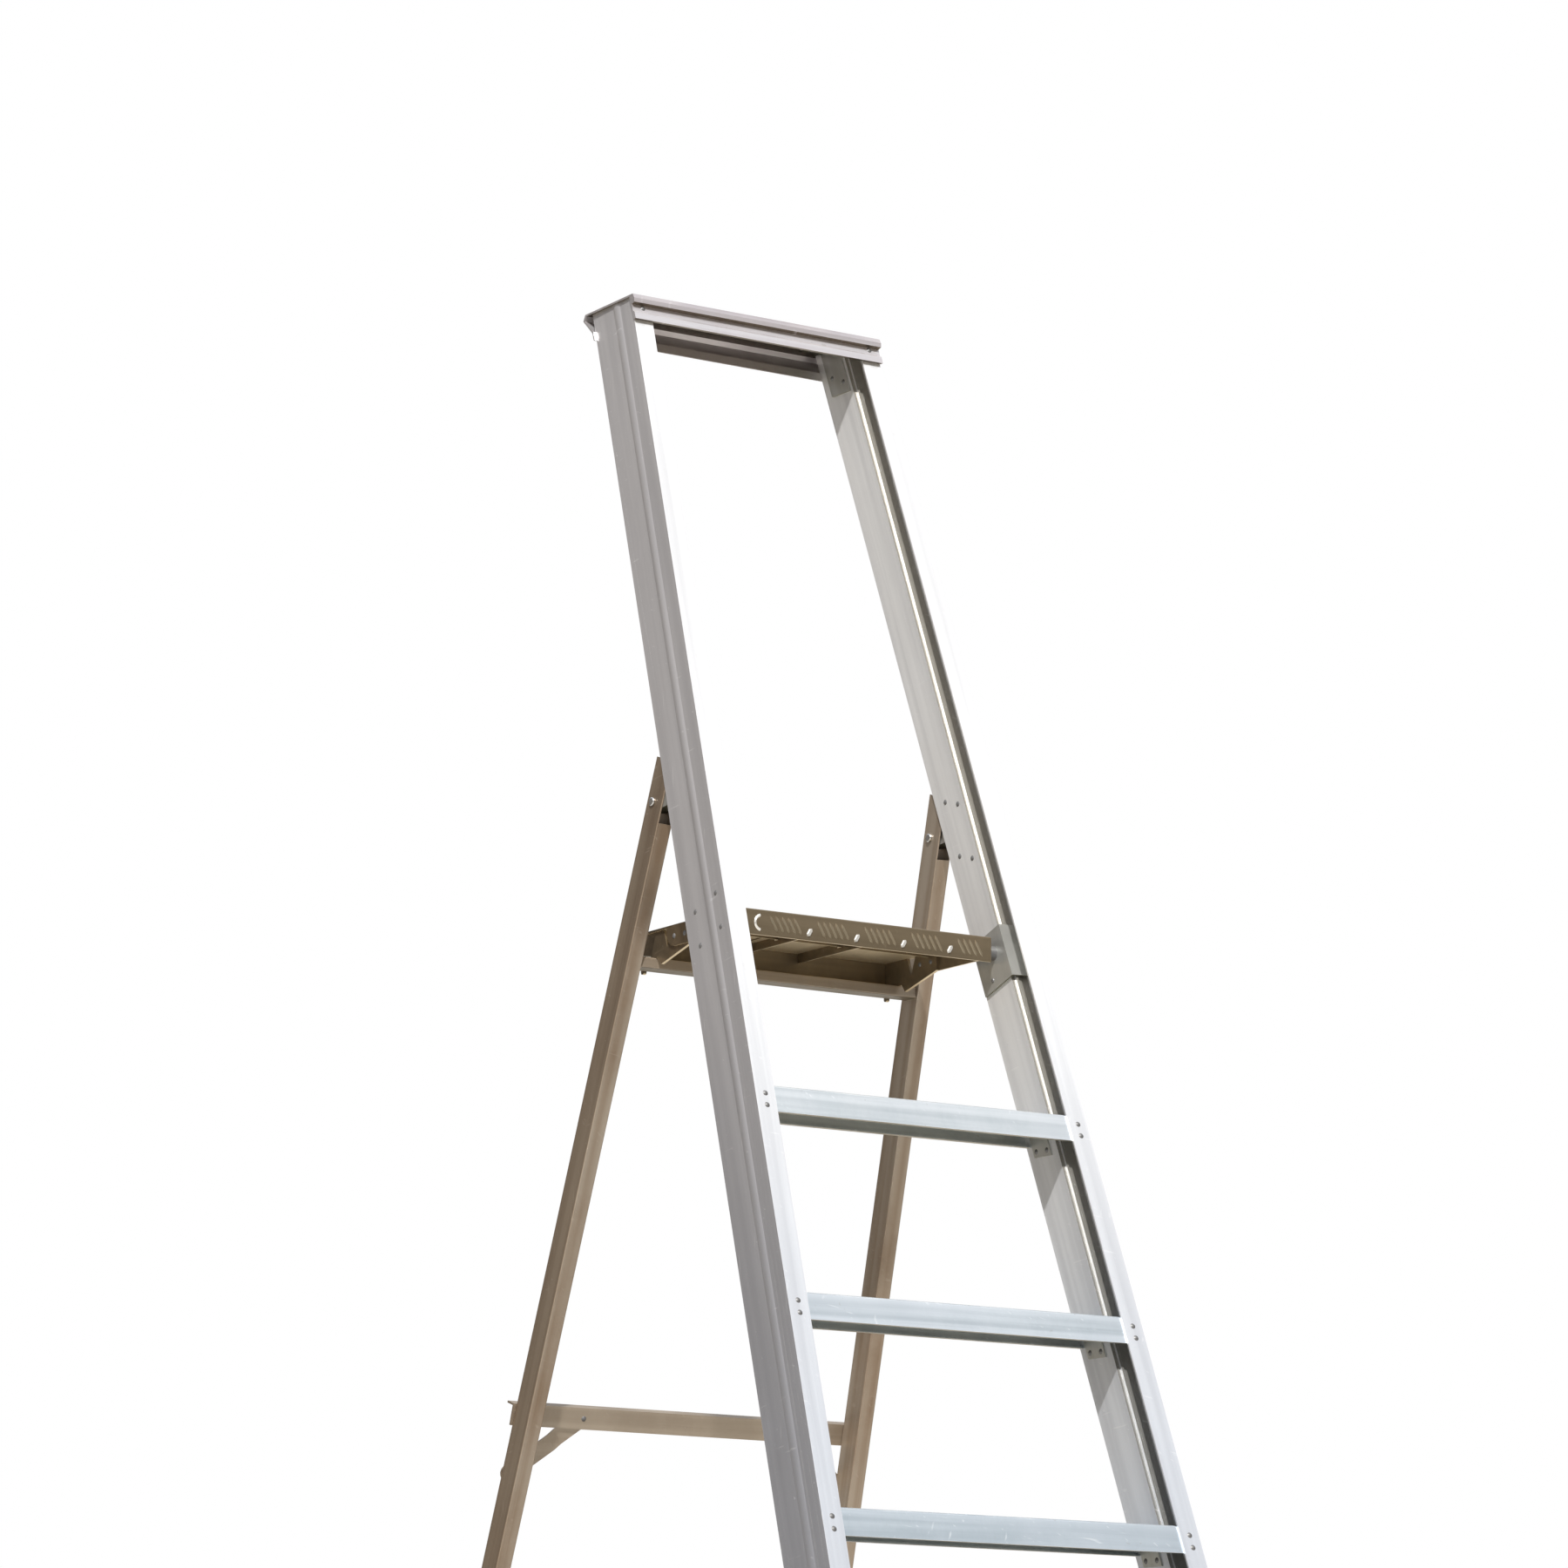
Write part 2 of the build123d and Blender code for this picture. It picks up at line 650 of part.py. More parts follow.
def make_brace(place, turn):
    half = leg_centre_at(place) + leg_width / 2 + brace_overhang
    rear_face = leg_depth + brace_wall
    edge = -turn * brace_height / 2
    flange = sorted((edge, edge + turn * brace_wall))
    web = block(rear_plane, (-half, half), (leg_depth, rear_face),
                (place - brace_height / 2, place + brace_height / 2))
    brace = web + block(rear_plane, (-half, half), (leg_depth, leg_depth + brace_flange),
                        (place + flange[0], place + flange[1]))
    seats = brace_leg_seats + strut_brace_seats
    return brace - both_sides([rivet_hole(seat, grip) for seat, grip in seats])


def make_strut(start, place, direction, length):
    end = strut_width / 2
    upper = leg_depth + brace_wall
    joggle_end = joggle_start + joggle_length
    low = [(-end, upper), (joggle_start, upper), (joggle_end, leg_depth), (length + end, leg_depth)]
    high = [(length + end, leg_depth + strut_wall), (joggle_end, leg_depth + strut_wall),
            (joggle_start, upper + strut_wall), (-end, upper + strut_wall)]
    across = (-direction[2], 0, direction[0])
    side = Plane(origin=(-start, 0, place), x_dir=direction, z_dir=across)
    strut = side * extrude(make_face(Polyline(*low, *high, close=True)), amount=end, both=True)
    face = Plane(origin=(-start, 0, place), x_dir=direction, z_dir=(0, -1, 0))
    outline = face * Pos(length / 2, 0) * SlotCenterToCenter(length, strut_width)
    strut &= extrude(outline, amount=2 * leg_depth, both=True)
    strut = rear_plane * strut
    seats = strut_brace_seats + strut_leg_seats
    return strut - [rivet_hole(seat, grip) for seat, grip in seats]


# Platform

deck_near = stile_y_at(platform_top) + platform_setback
deck_far = deck_near + platform_length
under_deck = platform_top - platform_plate
arm_outer = platform_half_width - platform_plate
arm_inner = arm_outer - arm_wall
arm_seats = []
for place in arm_rivet_places:
    seat = Pos(-platform_half_width, deck_near + place, platform_top - arm_rivet_drop)
    arm_seats.append((seat * inward, platform_plate + arm_wall))


def platform_pin_hole(clearance):
    return pin_along_x(platform_pin_radius + clearance, -floor_half_width, 0, pin_y, pin_height)


def make_deck():
    width = (-platform_half_width, platform_half_width)
    deck = block(world, width, (deck_near, deck_far), (under_deck, platform_top))
    lip = block(world, width, (deck_near, deck_near + platform_plate),
                (platform_top - platform_lip, platform_top))
    rear_half = arm_inner - fit_clearance
    deck += lip + block(world, (-rear_half, rear_half), (deck_far - platform_plate, deck_far),
                        (platform_top - platform_rear_lip, platform_top))
    for side in (-1, 1):
        edges = sorted((side * platform_half_width, side * arm_outer))
        skirt = block(world, edges, (deck_near, deck_near + skirt_length),
                      (platform_top - platform_skirt, platform_top))
        corner = skirt.edges().filter_by(Axis.X).group_by(Axis.Z)[0].sort_by(Axis.Y)[-1]
        deck += fillet(corner, skirt_round)
    front_edge = deck.edges().filter_by(Axis.X).group_by(Axis.Z)[-1].sort_by(Axis.Y)[0]
    deck = fillet(front_edge, 2)
    holes = [platform_pin_hole(running_clearance)]
    holes += [rivet_hole(seat, grip) for seat, grip in arm_seats]
    holes += [flush_hole(seat, grip) for seat, grip in deck_rib_seats]
    return deck - both_sides(holes)


rib_near = deck_near + platform_plate
rib_far = deck_far - platform_plate
deck_rib_seats = []
for share in (0.15, 0.85):
    place = rib_near + share * (rib_far - rib_near)
    seat = Pos(-deck_rib_place - deck_rib_flange / 2, place, platform_top) * downward
    deck_rib_seats.append((seat, platform_plate + deck_rib_wall))
    seat = Pos(-arm_inner * share, deck_near + cross_rib_setback + deck_rib_flange / 2, platform_top)
    deck_rib_seats.append((seat * downward, platform_plate + deck_rib_wall))


def make_deck_rib():
    heights = (under_deck - deck_rib_height, under_deck)
    rib = block(world, (-deck_rib_place, deck_rib_wall - deck_rib_place), (rib_near, rib_far), heights)
    rib += block(world, (-deck_rib_place - deck_rib_flange, -deck_rib_place), (rib_near, rib_far),
                 (under_deck - deck_rib_wall, under_deck))
    near = deck_near + cross_rib_setback
    rib -= block(world, (-platform_half_width, 0), (near - fit_clearance, near + deck_rib_flange
                 + fit_clearance), (under_deck - deck_rib_height / 2, under_deck))
    return rib - [rivet_hole(seat, grip) for seat, grip in deck_rib_seats]


def make_cross_rib():
    near = deck_near + cross_rib_setback
    half = arm_inner - fit_clearance
    heights = (under_deck - deck_rib_height * 0.45, under_deck)
    rib = block(world, (-half, half), (near, near + deck_rib_wall), heights)
    rib += block(world, (-half, half), (near, near + deck_rib_flange),
                 (under_deck - deck_rib_wall, under_deck))
    return rib - both_sides([rivet_hole(seat, grip) for seat, grip in deck_rib_seats])


def make_hook_arm():
    rest = bar_top + fit_clearance
    notch_low = platform_top - arm_notch_depth
    notch = deck_near + arm_notch
    prong_far = bar_far + 2 + prong_thickness
    low = platform_top - arm_drop
    lower_end = deck_near + arm_lower_end
    outline = [(deck_near + arm_start, under_deck), (notch - arm_notch_half, under_deck),
               (notch, notch_low), (notch + arm_notch_half, under_deck),
               (prong_far, under_deck), (prong_far, bar_top - prong_length),
               (prong_far - prong_thickness, bar_top - prong_length),
               (prong_far - prong_thickness, rest), (lower_end + 7, rest), (lower_end, low),
               (deck_near + arm_start, platform_top - arm_front_drop)]
    side = Plane(origin=(-arm_outer, 0, 0), x_dir=(0, 1, 0), z_dir=(1, 0, 0))
    arm = side * extrude(make_face(Polyline(*outline, close=True)), amount=arm_wall)
    ends = arm.edges().filter_by(Axis.X).group_by(Axis.Z)
    arm = fillet(ends[0].sort_by(Axis.Y)[-2:], prong_thickness * 0.4)
    return arm - [rivet_hole(seat, grip) for seat, grip in arm_seats]


# Pins that carry the platform, and the brackets that hold them

def make_platform_bracket():
    along = (bracket_low, bracket_high)
    inner = (inner_face, inner_face + bracket_wall)
    bracket = block(stile_frame, inner, (bracket_step, bracket_rear), along)
    bracket += block(stile_frame, (stile_wall, inner_face + bracket_wall),
                     (bracket_step, bracket_step + bracket_wall), along)
    bracket += block(stile_frame, (stile_wall, stile_wall + bracket_wall),
                     (bracket_pad, bracket_step + bracket_wall), along)
    holes = [rivet_hole(seat, grip) for seat, grip in bracket_seats]
    return bracket - holes - platform_pin_hole(rivet_clearance)


nut_faces = (inner_face - stile_wall - platform_nut_height, inner_face - stile_wall)


def make_platform_pin():
    wall_x = -half_width_at(pin_height, nut_faces[0])
    head_face = -arm_outer + fit_clearance
    pin = pin_along_x(platform_pin_radius, wall_x - 1.5, head_face, pin_y, pin_height)
    head = pin_along_x(platform_pin_head_radius, head_face, head_face + platform_pin_head,
                       pin_y, pin_height)
    rim = head.edges().filter_by(GeomType.CIRCLE).sort_by(Axis.X)[-1]
    return pin + fillet(rim, platform_pin_head * 0.5)


def make_platform_nut():
    wall_x = -half_width_at(pin_height, sum(nut_faces) / 2)
    prism = extrude(RegularPolygon(platform_nut_width / 2, 6, major_radius=False),
                    amount=platform_nut_height, both=True)
    nut = Pos(wall_x, pin_y, pin_height) * Rot(0, 90, 0) * prism
    nut &= block(stile_frame, nut_faces, (0, stile_depth), (0, reach))
    return nut - platform_pin_hole(0.02)


def make_spacer():
    near = -platform_half_width - fit_clearance
    tube = pin_along_x(spacer_radius, near - 30, near, pin_y, pin_height)
    tube -= block(stile_frame, (-10, inner_face + bracket_wall), (0, stile_depth), (0, reach))
    return tube - platform_pin_hole(rivet_clearance)


# Feet

def make_boot(frame, width, depth, bead, seats):
    outer_u = (-bead - boot_wall, width + boot_wall)
    outer_d = (-boot_wall, depth + boot_wall)
    section = Pos(sum(outer_u) / 2, sum(outer_d) / 2)
    section *= RectangleRounded(outer_u[1] - outer_u[0], outer_d[1] - outer_d[0], boot_corner)
    boot = frame * Pos(0, 0, -2 * boot_length) * extrude(section, amount=3 * boot_length)
    gap = boot_clearance
    inside = block(frame, (-gap, width + gap), (-gap, depth + gap), (-reach, reach))
    if bead:
        inside += block(frame, (-bead - gap, 0), (bead_start - 1, bead_start + bead_width + 1),
                        (-reach, reach))
    boot -= inside & slab(boot_sole, reach)
    boot &= slab(0, reach)
    middle = boot.center().Y
    for step in (-2, -1, 0, 1, 2):
        place = middle + step * sole_groove_pitch * depth / stile_depth
        boot -= block(world, (-reach, 0), (place - sole_groove / 2, place + sole_groove / 2),
                      (0, sole_groove_depth))
    return boot - [rivet_hole(seat, grip) for seat, grip in seats]


rear_boot_seats = [(leg_seat(-boot_wall, leg_depth / 2, boot_rivet_along, inward),
                    boot_wall + leg_wall)]


def make_rivets(seats):
    return both_sides([rivet(seat, grip) for seat, grip in seats])


def build_parts():
    parts = {}
    pairs = {
        "stile": make_stile(),
        "cap_bracket": make_cap_bracket(),
        "tread_cleats": group([make_cleat(height) for height in tread_heights]),
        "hinge_block": make_hinge_block(),
        "hinge_pin": make_hinge_pin(),
        "rear_leg": make_leg(),
        "platform_bracket": make_platform_bracket(),
        "platform_pin": make_platform_pin(),
        "front_foot": make_boot(stile_frame, stile_width, stile_depth, bead_height, front_boot_seats),
        "rear_foot": make_boot(leg_frame, leg_width, leg_depth, 0, rear_boot_seats),
        "crossbar_cleat": make_crossbar_cleat(),
        "upper_strut": make_strut(*strut_frames[0]),
        "lower_strut": make_strut(*strut_frames[1]),
        "deck_rib": make_deck_rib(),
        "hook_arm": make_hook_arm(),
    }
    for name, part in pairs.items():
        parts["left_" + name] = part
        parts["right_" + name] = other_side(part)
    for number, height in enumerate(tread_heights, 1):
        parts["tread_" + str(number)] = make_tread(height)
    parts["top_cap"] = make_cap()
    parts["platform_deck"] = make_deck()
    parts["deck_cross_rib"] = make_cross_rib()
    parts["rear_crossbar"] = make_crossbar()
    for name, place, turn in zip(("upper_brace", "lower_brace"), brace_places, strut_turns):
        parts[name] = make_brace(place, turn)
    groups = {
        "tread_rivets": make_rivets(tread_front_seats),
        "tread_cleat_rivets": make_rivets(cleat_wall_seats + cleat_shelf_seats),
        "cap_rivets": make_rivets(cap_wall_seats + cap_apron_seats + cap_top_seats),
        "hinge_block_rivets": both_sides([rivet(seat, grip, tail=False)
                                          for seat, grip in hinge_block_seats]),
        "platform_bracket_rivets": make_rivets(bracket_seats),
        "platform_pin_nuts": both_sides([make_platform_nut()]),
        "platform_spacers": both_sides([make_spacer()]),
        "front_foot_rivets": make_rivets(front_boot_seats),
        "crossbar_rivets": make_rivets(crossbar_wall_seats + crossbar_top_seats),
        "brace_rivets": make_rivets(brace_leg_seats + strut_brace_seats + strut_leg_seats),
        "rear_foot_rivets": make_rivets(rear_boot_seats),
        "platform_rivets": make_rivets(arm_seats)
        + both_sides([flush_rivet(seat, grip) for seat, grip in deck_rib_seats]),
    }
    parts.update({name: group(solids) for name, solids in groups.items()})
    return parts


os.makedirs("parts", exist_ok=True)
for name, part in build_parts().items():
    export_step(part, "parts/" + name + ".step")
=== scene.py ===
import bpy
import bmesh
from math import cos, pi, radians, sin
from mathutils import Matrix, Vector


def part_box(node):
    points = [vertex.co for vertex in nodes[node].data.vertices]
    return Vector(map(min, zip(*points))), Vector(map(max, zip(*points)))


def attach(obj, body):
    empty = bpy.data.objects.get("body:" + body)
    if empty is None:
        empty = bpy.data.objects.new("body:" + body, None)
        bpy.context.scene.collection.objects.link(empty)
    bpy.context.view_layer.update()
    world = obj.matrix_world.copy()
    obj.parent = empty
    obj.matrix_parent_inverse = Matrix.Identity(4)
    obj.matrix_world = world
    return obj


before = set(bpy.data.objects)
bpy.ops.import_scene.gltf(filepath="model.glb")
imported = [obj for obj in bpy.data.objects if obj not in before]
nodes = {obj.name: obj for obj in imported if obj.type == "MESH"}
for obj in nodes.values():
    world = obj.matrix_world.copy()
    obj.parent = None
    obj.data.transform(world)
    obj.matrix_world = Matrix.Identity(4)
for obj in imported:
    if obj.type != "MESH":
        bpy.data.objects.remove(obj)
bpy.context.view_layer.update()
print("frame loaded,", len(nodes), "nodes")


def boxOf(name):
    low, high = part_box(name)
    return Vector(low), Vector(high)


# short ways to make and join shader nodes
def newGroup(name, inputs, outputs):
    group = bpy.data.node_groups.new(name, "ShaderNodeTree")
    for label, kind, value in inputs:
        socket = group.interface.new_socket(label, in_out="INPUT", socket_type=kind)
        if value is not None:
            socket.default_value = value
    for label, kind in outputs:
        group.interface.new_socket(label, in_out="OUTPUT", socket_type=kind)
    return group, group.nodes.new("NodeGroupInput"), group.nodes.new("NodeGroupOutput")


def addNode(tree, kind, links=None, **settings):
    # settings are node properties, links feed its inputs with sockets or plain values
    node = tree.nodes.new(kind)
    for key, value in settings.items():
        setattr(node, key, value)
    for key, value in (links or {}).items():
        if isinstance(value, bpy.types.NodeSocket):
            tree.links.new(value, node.inputs[key])
        else:
            node.inputs[key].default_value = value
    return node


def mathNode(tree, operation, first, second=0.0, clamp=False):
    node = addNode(tree, "ShaderNodeMath", {0: first, 1: second}, operation=operation)
    node.use_clamp = clamp
    return node.outputs[0]


def rampNode(tree, factor, low, high):
    # smooth step from 0 at low to 1 at high
    node = addNode(tree, "ShaderNodeMapRange", {0: factor, 1: low, 2: high},
                   interpolation_type="SMOOTHSTEP")
    return node.outputs[0]


def mixColour(tree, factor, first, second, blend="MIX"):
    node = tree.nodes.new("ShaderNodeMix")
    node.data_type = "RGBA"
    node.blend_type = blend
    for key, value in ((0, factor), (6, first), (7, second)):
        if isinstance(value, bpy.types.NodeSocket):
            tree.links.new(value, node.inputs[key])
        else:
            node.inputs[key].default_value = value
    return node.outputs[2]


def noiseAt(tree, scale, stretch, detail=4.0, roughness=0.55, turn=(0, 0, 0)):
    # noise in object space, stretched along one axis after a turn
    place = addNode(tree, "ShaderNodeTexCoord").outputs["Object"]
    spin = addNode(tree, "ShaderNodeMapping", {"Vector": place, "Rotation": turn})
    squeeze = addNode(tree, "ShaderNodeMapping", {"Vector": spin.outputs[0], "Scale": stretch})
    noise = addNode(tree, "ShaderNodeTexNoise", {"Vector": squeeze.outputs[0], "Scale": scale,
                                                 "Detail": detail, "Roughness": roughness})
    return noise.outputs[0]


# size is how fine the noise is, run how far it stretches along the length
drawLineSizes = {
    "fineSize": 520.0, "fineRun": 0.004, "broadSize": 95.0, "broadRun": 0.02,
    "wideSize": 38.0, "wideRun": 0.03, "streakStep": (0.38, 0.62), "bandStep": (0.36, 0.62),
}


def buildDrawLines():
    # fine lines left by the extrusion die, running along a leaning length that narrows upward
    size = drawLineSizes
    group, start, end = newGroup("drawLines", [("Lean", "NodeSocketVector", (0, 0, 0)),
                                               ("Taper", "NodeSocketFloat", 0.0),
                                               ("Density", "NodeSocketFloat", 1.0)],
                                 [("Lines", "NodeSocketFloat"), ("Streaks", "NodeSocketFloat"),
                                  ("Bands", "NodeSocketFloat")])
    place = addNode(group, "ShaderNodeTexCoord").outputs["Object"]
    x, y, z = addNode(group, "ShaderNodeSeparateXYZ", {0: place}).outputs
    narrowing = mathNode(group, "MULTIPLY", z, start.outputs["Taper"])
    across = mathNode(group, "ADD", mathNode(group, "ABSOLUTE", x), narrowing)
    sided = addNode(group, "ShaderNodeCombineXYZ", {0: across, 1: y, 2: z}).outputs[0]
    flat = mathNode(group, "GREATER_THAN", start.outputs["Taper"], 0.0)
    straight = addNode(group, "ShaderNodeMix", data_type="VECTOR")
    for key, value in ((0, flat), (4, place), (5, sided)):
        group.links.new(value, straight.inputs[key])
    spin = addNode(group, "ShaderNodeMapping", {"Vector": straight.outputs[1],
                                                "Rotation": start.outputs["Lean"]})
    fine = addNode(group, "ShaderNodeMapping", {"Vector": spin.outputs[0],
                                                "Scale": (1, 1, size["fineRun"])})
    scale = mathNode(group, "MULTIPLY", start.outputs["Density"], size["fineSize"])
    lines = addNode(group, "ShaderNodeTexNoise", {"Vector": fine.outputs[0], "Scale": scale,
                                                  "Detail": 3.0})
    broad = addNode(group, "ShaderNodeMapping", {"Vector": spin.outputs[0],
                                                 "Scale": (1, 1, size["broadRun"])})
    streaks = addNode(group, "ShaderNodeTexNoise", {"Vector": broad.outputs[0],
                                                    "Scale": size["broadSize"], "Detail": 4.0})
    wide = addNode(group, "ShaderNodeMapping", {"Vector": spin.outputs[0],
                                                "Scale": (1, 1, size["wideRun"])})
    bands = addNode(group, "ShaderNodeTexNoise", {"Vector": wide.outputs[0],
                                                  "Scale": size["wideSize"], "Detail": 2.0})
    group.links.new(lines.outputs[0], end.inputs["Lines"])
    group.links.new(rampNode(group, streaks.outputs[0], *size["streakStep"]),
                    end.inputs["Streaks"])
    group.links.new(rampNode(group, bands.outputs[0], *size["bandStep"]), end.inputs["Bands"])
    return group


handlingSizes = {
    "smudgeSize": 9.0, "smudgeStep": (0.42, 0.68), "patchSize": 2.6, "patchStep": (0.4, 0.62),
    "scratchSize": 260.0, "scratchStep": (0.72, 0.80),
    "scratchTurns": ((0.5, 0.9, 0.3), (1.2, 0.2, 1.4), (-0.6, 1.3, 0.8)),
}


def buildHandling():
    # smudges, dull patches and small scratches from use
    size = handlingSizes
    group, start, end = newGroup("handling", [("Amount", "NodeSocketFloat", 1.0)],
                                 [("Smudge", "NodeSocketFloat"), ("Scratch", "NodeSocketFloat"),
                                  ("Patch", "NodeSocketFloat")])
    smudge = rampNode(group, noiseAt(group, size["smudgeSize"], (1, 1, 0.55), 6.0, 0.62),
                      *size["smudgeStep"])
    patch = rampNode(group, noiseAt(group, size["patchSize"], (1, 1, 1), 3.0), *size["patchStep"])
    scratches = []
    for turn in size["scratchTurns"]:
        thread = noiseAt(group, size["scratchSize"], (1, 0.03, 0.35), 1.0, 0.5, turn)
        scratches.append(rampNode(group, thread, *size["scratchStep"]))
    pair = mathNode(group, "MAXIMUM", scratches[0], scratches[1])
    scratch = mathNode(group, "MAXIMUM", pair, scratches[2])
    amount = start.outputs["Amount"]
    group.links.new(mathNode(group, "MULTIPLY", smudge, amount), end.inputs["Smudge"])
    group.links.new(mathNode(group, "MULTIPLY", scratch, amount), end.inputs["Scratch"])
    group.links.new(mathNode(group, "MULTIPLY", patch, amount), end.inputs["Patch"])
    return group


edgeWearSizes = {"wearStep": (0.01, 0.22), "breakSize": 60.0, "breakStep": (0.3, 0.7)}


def buildEdgeWear():
    # bright rubbed metal along edges, from the difference of a bevelled and a plain normal
    size = edgeWearSizes
    group, start, end = newGroup("edgeWear", [("Width", "NodeSocketFloat", 0.0008),
                                              ("Strength", "NodeSocketFloat", 1.0)],
                                 [("Edge", "NodeSocketFloat")])
    bevel = addNode(group, "ShaderNodeBevel", {"Radius": start.outputs["Width"]}, samples=4)
    plain = addNode(group, "ShaderNodeNewGeometry").outputs["Normal"]
    alike = addNode(group, "ShaderNodeVectorMath", {0: bevel.outputs[0], 1: plain},
                    operation="DOT_PRODUCT")
    apart = rampNode(group, mathNode(group, "SUBTRACT", 1.0, alike.outputs["Value"]),
                     *size["wearStep"])
    breakUp = rampNode(group, noiseAt(group, size["breakSize"], (1, 1, 1), 4.0), *size["breakStep"])
    worn = mathNode(group, "MULTIPLY", apart, breakUp)
    worn = mathNode(group, "MULTIPLY", worn, start.outputs["Strength"])
    group.links.new(worn, end.inputs["Edge"])
    return group


# which way a face must point, and how deep or low it lies, for each kind of dirt and of painted
# shade to show
grimeAndShadeSizes = {
    "stileLean": 20, "upStep": (0.2, 0.95), "underStep": (0.35, 0.9), "outsideStep": (0.6, 0.95),
    "grooveDepth": (0.010, 0.014), "aheadStep": (0.5, 0.85), "lowStep": (1.9, 0.9),
    "cloudSize": 14.0, "cloudStep": (0.38, 0.7), "spotSize": 95.0, "spotStep": (0.7, 0.76),
}


def buildGrimeAndShade():
    # dust on upward faces, dried spots all over, and masks for painted shade on undersides (a
    # painted light under the platform), on outward sides, in the bottom of the stiles' groove and,
    # cooler, over the lower end of the ladder
    size = grimeAndShadeSizes
    lean = radians(size["stileLean"])
    stileFoot = boxOf("left_stile")[0]
    front = stileFoot.y * cos(lean) - stileFoot.z * sin(lean)
    group, start, end = newGroup("grimeAndShade", [("Level", "NodeSocketFloat", 0.5)],
                                 [("Dust", "NodeSocketFloat"), ("Spots", "NodeSocketFloat"),
                                  ("UnderShading", "NodeSocketFloat"), ("OutsideShade", "NodeSocketFloat"),
                                  ("GrooveShade", "NodeSocketFloat"), ("LowShade", "NodeSocketFloat")])
    normal = addNode(group, "ShaderNodeNewGeometry").outputs["Normal"]
    parts = addNode(group, "ShaderNodeSeparateXYZ", {0: normal}).outputs
    up = parts[2]
    upward = rampNode(group, up, *size["upStep"])
    group.links.new(rampNode(group, mathNode(group, "MULTIPLY", up, -1.0), *size["underStep"]),
                    end.inputs["UnderShading"])
    place = addNode(group, "ShaderNodeTexCoord").outputs["Object"]
    side = mathNode(group, "SIGN", addNode(group, "ShaderNodeSeparateXYZ", {0: place}).outputs[0])
    facing = mathNode(group, "MULTIPLY", side, parts[0])
    group.links.new(rampNode(group, facing, *size["outsideStep"]), end.inputs["OutsideShade"])
    # depth behind the front face of the leaning stiles, for painted shade in the closed bottom of
    # their groove
    spot = addNode(group, "ShaderNodeSeparateXYZ", {0: place}).outputs
    depth = mathNode(group, "MULTIPLY", spot[1], cos(lean))
    depth = mathNode(group, "SUBTRACT", depth, mathNode(group, "MULTIPLY", spot[2], sin(lean)))
    depth = mathNode(group, "SUBTRACT", depth, front)
    deep = rampNode(group, depth, *size["grooveDepth"])
    ahead = rampNode(group, mathNode(group, "MULTIPLY", parts[1], -1.0), *size["aheadStep"])
    group.links.new(mathNode(group, "MULTIPLY", deep, ahead), end.inputs["GrooveShade"])
    # mask for a painted cooler shade, strongest at the lower end
    group.links.new(rampNode(group, spot[2], *size["lowStep"]), end.inputs["LowShade"])
    cloud = rampNode(group, noiseAt(group, size["cloudSize"], (1, 1, 1), 6.0, 0.6),
                     *size["cloudStep"])
    dust = mathNode(group, "MULTIPLY", upward, cloud)
    spots = rampNode(group, noiseAt(group, size["spotSize"], (1, 1, 1), 2.0), *size["spotStep"])
    group.links.new(mathNode(group, "MULTIPLY", dust, start.outputs["Level"]), end.inputs["Dust"])
    group.links.new(mathNode(group, "MULTIPLY", spots, start.outputs["Level"]), end.inputs["Spots"])
    return group


drawLines = buildDrawLines()
handling = buildHandling()
edgeWear = buildEdgeWear()
grimeAndShade = buildGrimeAndShade()


def placeGroup(tree, group, **values):
    node = tree.nodes.new("ShaderNodeGroup")
    node.node_tree = group
    for key, value in values.items():
        node.inputs[key].default_value = value
    return node


def startMaterial(name):
    material = bpy.data.materials.new(name)
    material.use_nodes = True
    shader = material.node_tree.nodes["Principled BSDF"]
    return material, material.node_tree, shader


